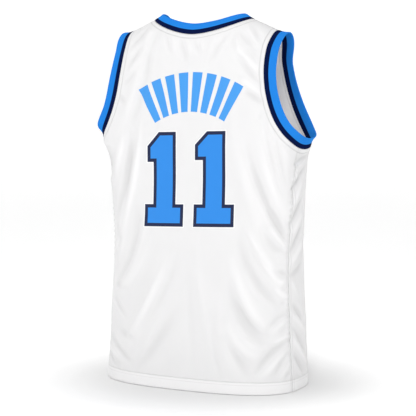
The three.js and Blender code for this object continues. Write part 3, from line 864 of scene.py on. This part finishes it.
backEdges = edgeLines(backGrid, backPiece)
frontEdges = edgeLines(frontGrid, frontPiece)
seams = {key: closedLine(backEdges[key], frontEdges[key]) for key in ("neck", "left", "right")}
neckBand, neckLength = ribBand("neckBand", seams["neck"], (0, 0, 10), neckShape)
leftBand, armLength = ribBand("armholeBandLeft", seams["left"], (215, 0, -130), armShape)
rightBand, armLength = ribBand("armholeBandRight", seams["right"], (-215, 0, -130), armShape)
print("bands: neck %.0f mm round, armholes %.0f mm" % (neckLength, armLength))


# Panels.

def distanceTo(points, line):
    # shortest distance from each point to a row of points
    nearest = np.full(points.shape[:-1], 1e9)
    for place in line:
        gap = points - place
        nearest = np.minimum(nearest, np.einsum("...i,...i->...", gap, gap))
    return np.sqrt(nearest)


def makePanel(piece, grid, edges):
    mesh = gridMesh(piece["name"], grid["points"], piece["isBack"], grid["present"])
    panel = addPiece(piece["name"], mesh)
    present = grid["present"]
    points, across, down = (grid[key][present] for key in ("points", "across", "down"))
    # the cut: across the cloth, and down from the neck points
    writeCut(mesh, np.stack([across, -down], axis=1)[cornerPoints(mesh)])
    # distances that the stitching reads, and the fold relief that sets the painted shade and highlight
    away = {
        "bandAway": np.minimum.reduce([distanceTo(points, line) for line, normals in edges.values()]),
        "shoulderAway": grid["cloth"][present],
        "sideAway": np.abs(fromBack(piece, np.abs(across), down) - readOval("seam", down)),
        "hemAway": garment["length"] - down,
        "relief": grid["relief"][present],
    }
    for name, values in away.items():
        layer = mesh.attributes.new(name, "FLOAT", "POINT")
        layer.data.foreach_set("value", (values * mm).astype(np.float32))
    # the hem is two layers thick
    group = panel.vertex_groups.new(name="hem")
    weights = ease((garment["hemDepth"] + 2 - away["hemAway"]) / 3)
    for index in np.nonzero(weights > 0.001)[0]:
        group.add([int(index)], float(weights[index]), "REPLACE")
    solidify = panel.modifiers.new("cloth", "SOLIDIFY")
    solidify.thickness = garment["hemWall"] * mm
    solidify.offset = -1
    solidify.vertex_group = "hem"
    solidify.thickness_vertex_group = garment["wall"] / garment["hemWall"]
    solidify.material_offset = 1
    solidify.material_offset_rim = 0
    return panel


backPanel = makePanel(backPiece, backGrid, backEdges)
frontPanel = makePanel(frontPiece, frontGrid, frontEdges)
print("panels made")


# Materials.

colours = {
    "cloth": (0.785, 0.781, 0.785, 1),
    # the inside is painted lighter than the same cloth outside, as painted light in its shaded hollow
    "inside": (0.95, 0.935, 0.93, 1),
    "lightBlue": (0.026, 0.258, 0.76, 1),
    "lightBlueRibShade": (0.010, 0.205, 0.72, 1),      # painted shade between the ribs
    "navy": (0.0005, 0.008, 0.055, 1),
    # painted shade between the ribs
    "navyRibShade": (0.001, 0.004, 0.045, 1),
    "number": (0.016, 0.240, 0.74, 1),
    "bars": (0.052, 0.315, 0.79, 1),
    "edge": (0.93, 0.93, 0.93, 1),
}


class Shader:
    # a few short names for wiring a material
    def __init__(self, name, values):
        self.material = bpy.data.materials.new(name)
        self.material.use_nodes = True
        self.nodes = self.material.node_tree.nodes
        self.links = self.material.node_tree.links
        self.surface = self.nodes["Principled BSDF"]
        for key, value in values.items():
            self.surface.inputs[key].default_value = value

    def feed(self, socket, value):
        if isinstance(value, bpy.types.NodeSocket):
            self.links.new(value, socket)
        else:
            socket.default_value = value

    def node(self, kind, **settings):
        made = self.nodes.new(kind)
        for key, value in settings.items():
            setattr(made, key, value)
        return made

    def sum(self, operation, first, second=0.0, third=0.0):
        made = self.node("ShaderNodeMath", operation=operation)
        for socket, value in zip(made.inputs, (first, second, third)):
            self.feed(socket, value)
        return made.outputs[0]

    def blend(self, share, first, second):
        made = self.node("ShaderNodeMix", data_type="RGBA")
        self.feed(made.inputs[0], share)
        self.feed(made.inputs[6], first)
        self.feed(made.inputs[7], second)
        return made.outputs[2]

    def soft(self, value, start, end):
        # 0 at start, 1 at end, smooth between
        made = self.node("ShaderNodeMapRange", interpolation_type="SMOOTHSTEP")
        for socket, number in zip(made.inputs, (value, start, end, 0.0, 1.0)):
            self.feed(socket, number)
        return made.outputs[0]

    def cut(self):
        # pattern coordinates, in metres
        split = self.node("ShaderNodeSeparateXYZ")
        self.links.new(self.node("ShaderNodeUVMap", uv_map="cut").outputs[0], split.inputs[0])
        return split.outputs[0], split.outputs[1]

    def outside(self, value, start, end):
        # how far outside a span in millimetres a place lies, negative inside
        apart = self.sum("ABSOLUTE", self.sum("SUBTRACT", value, (start + end) / 2 * mm))
        return self.sum("SUBTRACT", apart, (end - start) / 2 * mm)

    def distance(self, name):
        return self.node("ShaderNodeAttribute", attribute_name=name).outputs["Fac"]

    def bump(self, height, strength, distance):
        made = self.node("ShaderNodeBump")
        made.inputs["Strength"].default_value = strength
        made.inputs["Distance"].default_value = distance
        self.feed(made.inputs["Height"], height)
        self.links.new(made.outputs[0], self.surface.inputs["Normal"])


def toned(colour, share):
    return tuple(min(1.0, part * share) for part in colour[:3]) + (1,)


# printed block number and the fan of bars above it, on the back
number = {
    "top": 222, "bottom": 412, "outline": 7.0, "edge": 1.8,
    "middleDown": 317, "rises": 0.040, "leans": 0.017,     # the print sits a little askew
    "digits": [
        {"base": (11, 99), "baseTop": 367, "stem": (29, 79.5), "flag": (29, 93.5),
         "flagBottom": 282, "corner": (68, 222, 93.5, 250)},
        {"base": (-100, -12), "baseTop": 367, "stem": (-80.5, -31), "flag": (-80.5, -13.5),
         "flagBottom": 279, "corner": (-40, 222, -14, 248)},
    ],
}
# pitch is in degrees, and the number of bars is even
fan = {"centreDown": 335, "outer": 230, "inner": 152, "bars": 8, "pitch": 7.9, "filled": 0.68}


def digitDistance(paint, x, down, digit):
    # how far outside a figure a place is, negative inside, in metres
    def box(sides, top, bottom):
        return paint.sum("MAXIMUM", paint.outside(x, *sides), paint.outside(down, top, bottom))

    top, bottom = number["top"], number["bottom"]
    stem = box(digit["stem"], top, bottom)
    flag = box(digit["flag"], top, digit["flagBottom"])
    base = box(digit["base"], digit["baseTop"], bottom)
    fromX, fromDown, toX, toDown = digit["corner"]
    length = math.hypot(toX - fromX, toDown - fromDown)
    slantX, slantDown = (toDown - fromDown) / length, (toX - fromX) / length
    slant = paint.sum("SUBTRACT",
                      paint.sum("MULTIPLY", paint.sum("SUBTRACT", x, fromX * mm), slantX),
                      paint.sum("MULTIPLY", paint.sum("SUBTRACT", down, fromDown * mm), slantDown))
    upper = paint.sum("MAXIMUM", paint.sum("MINIMUM", stem, flag), slant)
    return paint.sum("MINIMUM", upper, base)


def fanDistance(paint, x, down):
    up = paint.sum("SUBTRACT", fan["centreDown"] * mm, down)
    radius = paint.sum("SQRT", paint.sum("ADD", paint.sum("MULTIPLY", x, x), paint.sum("MULTIPLY", up, up)))
    angle = paint.sum("ARCTAN2", x, up)
    pitch = math.radians(fan["pitch"])
    turned = paint.sum("DIVIDE", angle, pitch)
    part = paint.sum("SUBTRACT", paint.sum("FRACT", turned), 0.5)
    fromMiddle = paint.sum("MULTIPLY", paint.sum("ABSOLUTE", part), pitch)
    aside = paint.sum("MULTIPLY", paint.sum("SUBTRACT", fromMiddle, pitch * fan["filled"] / 2), radius)
    ends = paint.outside(radius, fan["inner"], fan["outer"])
    sides = paint.sum("SUBTRACT", paint.sum("ABSOLUTE", turned), fan["bars"] / 2)
    return paint.sum("MAXIMUM", paint.sum("MAXIMUM", aside, ends), paint.sum("MULTIPLY", sides, 0.01))


knit = {
    "pitch": 1.1,              # one column of loops
    "depth": 0.05,
    "surface": {"Roughness": 0.55, "Specular IOR Level": 0.35, "Sheen Weight": 0.2, "Sheen Roughness": 0.45},
    "cloudSize": 9,            # faint, uneven tone of the cloth
    "cloudTone": 0.985,
    "troughDeep": 4.2,         # folds this deep or high take the whole painted shade or painted highlight
    "troughShade": 0.88,
    "ridgeHigh": 4.2,
    "ridgeHighlight": 1.08,
    # painted shade in the needle grooves
    "grooveShade": 0.76,
    # hem painted whiter, partly for its two layers and partly as painted light
    "hemLayersAndLight": 1.12,
    "hemShare": 0.8,
    "through": 0.04,           # painted glow on the inside, standing in for daylight through the thin knit
}


def knitHeight(paint, x, down):
    # columns of small loops, in millimetres of relief
    turn = 2 * math.pi / (knit["pitch"] * mm)
    columnWave = paint.sum("SINE", paint.sum("MULTIPLY", x, turn))
    bent = paint.sum("MULTIPLY", paint.sum("ABSOLUTE", columnWave), 1.6)
    shifted = paint.sum("ADD", paint.sum("MULTIPLY", down, turn * 0.75), bent)
    loops = paint.sum("ADD", columnWave, paint.sum("SINE", shifted))
    return paint.sum("MULTIPLY", loops, 0.5 * knit["depth"])


# lines of stitching: distance to measure from, how far along it, half width, depth
stitchLines = [
    ("bandAway", 8.6, 0.9, 0.45),
    ("bandAway", 0.4, 1.1, 0.3),
    ("shoulderAway", 0.0, 1.4, 0.8),
    ("shoulderAway", 6.0, 0.8, 0.3),
    ("sideAway", 0.0, 1.0, 0.36),
    ("sideAway", 5.5, 0.8, 0.26),
    ("hemAway", 24.2, 1.1, 0.38),
    ("hemAway", 18.6, 0.7, 0.15),
]


def stitching(paint):
    # depth of the needle grooves in millimetres, all lines together
    total = 0.0
    for name, at, wide, deep in stitchLines:
        gap = paint.sum("DIVIDE", paint.sum("SUBTRACT", paint.distance(name), at * mm), wide * mm)
        groove = paint.sum("EXPONENT", paint.sum("MULTIPLY", paint.sum("MULTIPLY", gap, gap), -1.0))
        total = paint.sum("MULTIPLY_ADD", groove, deep, total)
    return total


def clothMaterial(name, colour, printed, through=0.0):
    paint = Shader(name, {"Emission Color": colour, "Emission Strength": through, **knit["surface"]})
    x, up = paint.cut()
    down = paint.sum("MULTIPLY", up, -1.0)
    cloudy = paint.node("ShaderNodeTexNoise")
    cloudy.inputs["Scale"].default_value = knit["cloudSize"]
    cloudy.inputs["Detail"].default_value = 3
    cloud = paint.soft(cloudy.outputs[0], 0.35, 0.7)
    base = paint.blend(cloud, colour, toned(colour, knit["cloudTone"]))
    # painted highlight on the fold ridges and painted shade in the fold troughs, read from the fold relief
    ridge = paint.distance("relief")
    low = paint.soft(ridge, -0.1 * mm, -knit["troughDeep"] * mm)
    base = paint.blend(low, base, toned(colour, knit["troughShade"]))
    high = paint.soft(ridge, 0.1 * mm, knit["ridgeHigh"] * mm)
    base = paint.blend(high, base, toned(colour, knit["ridgeHighlight"]))
    # the hem is painted whiter, partly for its two layers, which let less show through, and partly as
    # painted light against the shade near the floor
    top = garment["hemDepth"] * mm
    doubled = paint.soft(paint.distance("hemAway"), top + 0.5 * mm, top - 0.5 * mm)
    whiter = paint.sum("MULTIPLY", doubled, knit["hemShare"])
    base = paint.blend(whiter, base, toned(colour, knit["hemLayersAndLight"]))
    grooves = stitching(paint)
    # painted shade in the needle grooves, darker where they are deeper
    shaded = paint.sum("MINIMUM", paint.sum("MULTIPLY", grooves, 1.6), 1.0)
    base = paint.blend(shaded, base, toned(colour, knit["grooveShade"]))
    height = paint.sum("SUBTRACT", knitHeight(paint, x, down), grooves)
    turned = paint.soft(paint.distance("bandAway"), 9 * mm, 7 * mm)
    height = paint.sum("MULTIPLY_ADD", turned, 0.35, height)
    if printed:
        level = paint.sum("SUBTRACT", down, number["middleDown"] * mm)
        printX = paint.sum("MULTIPLY_ADD", level, -number["leans"], x)
        printDown = paint.sum("MULTIPLY_ADD", x, -number["rises"], down)
        both = [digitDistance(paint, printX, printDown, digit) for digit in number["digits"]]
        digits = paint.sum("MINIMUM", *both)
        bars = fanDistance(paint, printX, printDown)
        blur, outer, inner = 0.25 * mm, number["edge"] * mm, -number["outline"] * mm
        edged = paint.soft(digits, outer + blur, outer)
        inked = paint.soft(digits, blur, -blur)
        filled = paint.soft(digits, inner + blur, inner - blur)
        barred = paint.soft(bars, blur, -blur)
        for share, name in ((edged, "edge"), (inked, "navy"), (filled, "number"), (barred, "bars")):
            base = paint.blend(share, base, colours[name])
        film = paint.sum("MULTIPLY", paint.sum("MAXIMUM", edged, barred), 0.16)
        height = paint.sum("ADD", height, film)
    paint.links.new(base, paint.surface.inputs["Base Color"])
    paint.bump(height, 1.0, mm)
    return paint.material


def ribMaterial():
    paint = Shader("ribKnit", {"Roughness": 0.8, "Specular IOR Level": 0.06})
    along, away = paint.cut()
    stripe = paint.soft(away, (rib["stripe"] + 0.3) * mm, (rib["stripe"] - 0.3) * mm)
    turn = 2 * math.pi / (rib["pitch"] * mm)
    wave = paint.sum("COSINE", paint.sum("MULTIPLY", along, turn))
    loops = paint.sum("SINE", paint.sum("MULTIPLY", away, turn * 1.6))
    # painted shade between the ribs, where the rib wave dips
    onRib = paint.soft(wave, -1.0, 1.0)
    light = paint.blend(onRib, colours["lightBlueRibShade"], colours["lightBlue"])
    dark = paint.blend(onRib, colours["navyRibShade"], colours["navy"])
    base = paint.blend(stripe, light, dark)
    paint.links.new(base, paint.surface.inputs["Base Color"])
    uneven = paint.sum("ADD", paint.sum("MULTIPLY", wave, 0.5), loops)
    paint.bump(paint.sum("MULTIPLY", uneven, 0.06), 1.0, mm)
    return paint.material


backCloth = clothMaterial("backCloth", colours["cloth"], True)
plainCloth = clothMaterial("plainCloth", colours["cloth"], False)
# the inside face is painted lighter and has a painted glow
insideClothPaintedLight = clothMaterial("insideClothPaintedLight", colours["inside"], False, knit["through"])
ribKnit = ribMaterial()
for panel, outside in ((backPanel, backCloth), (frontPanel, plainCloth)):
    panel.data.materials.append(outside)
    panel.data.materials.append(insideClothPaintedLight)
for band in (neckBand, leftBand, rightBand):
    band.data.materials.append(ribKnit)
print("materials made")


# Fitting to the frame.

fitting = [
    (backPanel, "back_panel", (0.49, 0.735), 0.30),
    (frontPanel, "front_panel", (0.64, 0.735), 0.36),
    (neckBand, "neck_band", (neckLength * mm, 0.025), None),
    (leftBand, "armhole_band_left", (armLength * mm, 0.025), None),
    (rightBand, "armhole_band_right", (armLength * mm, 0.025), None),
]
for piece, node, flat, area in fitting:
    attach(piece, "root")
    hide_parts(node)
print("pieces fitted")


# Floor, light and camera.

# lengths are metres, but floorDown is millimetres below the neck points
studio = {
    "floorDown": 735.6,
    "floorRadius": 5.0,
    "sweep": 1.5,          # bend from floor to wall
    "wallHeight": 4.0,
    "floorTone": 0.80,
    "farGlow": 0.41,
    "glowFrom": 0.12,      # the glow starts here, and is whole further out; the floor nearer in is left as a painted shadow round the hem
    "glowWhole": 0.46,
    "world": 0.43,
    "keyPower": 38,
    "topPower": 13,
}


def makeStudio():
    # a round floor that sweeps up into a wall on all sides
    around, rings = 96, []
    radius, sweep = studio["floorRadius"], studio["sweep"]
    for share in np.linspace(0, 1, 24):
        rings.append((radius * (0.02 + 0.98 * share), 0.0))
    for turn in np.linspace(0, math.pi / 2, 20)[1:]:
        rings.append((radius + sweep * math.sin(turn), sweep * (1 - math.cos(turn))))
    rings.append((radius + sweep, studio["wallHeight"]))
    base = -studio["floorDown"] * mm
    turns = [2 * math.pi * k / around for k in range(around)]
    vertices = [(r * math.cos(turn), r * math.sin(turn), base + z) for r, z in rings for turn in turns]
    faces = []
    for start in range(0, around * (len(rings) - 1), around):
        for k in range(around):
            after = (k + 1) % around
            faces.append((start + k, start + after, start + around + after, start + around + k))
    faces.append(tuple(range(around))[::-1])
    mesh = bpy.data.meshes.new("studioFloor")
    mesh.from_pydata(vertices, [], faces)
    floor = addPiece("studioFloor", mesh)
    white, pale = (1, 1, 1, 1), (studio["floorTone"],) * 3 + (1,)
    paint = Shader("paleFloor", {"Base Color": pale, "Roughness": 0.9, "Specular IOR Level": 0.1,
                                 "Emission Color": white})
    # the lamps fall off with distance, and a glow in the floor makes up for it; the glow fades out towards
    # the jersey, which paints a soft shadow round the hem on top of the lamps' own
    place = paint.node("ShaderNodeSeparateXYZ")
    paint.links.new(paint.node("ShaderNodeTexCoord").outputs["Object"], place.inputs[0])
    x, y = place.outputs[0], place.outputs[1]
    apart = paint.sum("SQRT", paint.sum("ADD", paint.sum("MULTIPLY", x, x), paint.sum("MULTIPLY", y, y)))
    spread = paint.soft(apart, studio["glowFrom"], studio["glowWhole"])
    glow = paint.sum("MULTIPLY", spread, studio["farGlow"])
    paint.links.new(glow, paint.surface.inputs["Emission Strength"])
    mesh.materials.append(paint.material)


def addLight(name, place, target, size, power):
    lamp = bpy.data.lights.new(name, "AREA")
    lamp.shape, lamp.size, lamp.energy = "DISK", size, power
    light = bpy.data.objects.new(name, lamp)
    bpy.context.scene.collection.objects.link(light)
    light.location = place
    light.rotation_euler = (Vector(target) - Vector(place)).to_track_quat("-Z", "Y").to_euler()


makeStudio()
world = bpy.data.worlds.new("softRoom")
bpy.context.scene.world = world
world.use_nodes = True
world.node_tree.nodes["Background"].inputs["Color"].default_value = (1, 1, 1, 1)
world.node_tree.nodes["Background"].inputs["Strength"].default_value = studio["world"]
middle = (0, 0, -0.38)
addLight("keyLight", (-1.2, 2.75, 1.7), middle, 0.8, studio["keyPower"])
addLight("topLight", (0.5, 0.2, 2.2), middle, 1.3, studio["topPower"])

# degrees from the back and above, metres, and the lens in millimetres
photoView = {"turn": 26.5, "rise": 5.95, "distance": 3.2, "target": (-0.0042, 0.0, -0.3814), "lens": 136.2}


def addCamera():
    turn, rise = math.radians(photoView["turn"]), math.radians(photoView["rise"])
    away = Vector((-math.sin(turn) * math.cos(rise), math.cos(turn) * math.cos(rise), math.sin(rise)))
    camera = bpy.data.objects.new("photoCamera", bpy.data.cameras.new("photoCamera"))
    bpy.context.scene.collection.objects.link(camera)
    camera.location = Vector(photoView["target"]) + away * photoView["distance"]
    camera.rotation_euler = (-away).to_track_quat("-Z", "Y").to_euler()
    camera.data.lens = photoView["lens"]
    camera.data.sensor_width = 36
    camera.data.clip_end = 50
    bpy.context.scene.camera = camera


addCamera()
bpy.context.scene.view_settings.view_transform = "Standard"
print("studio ready")
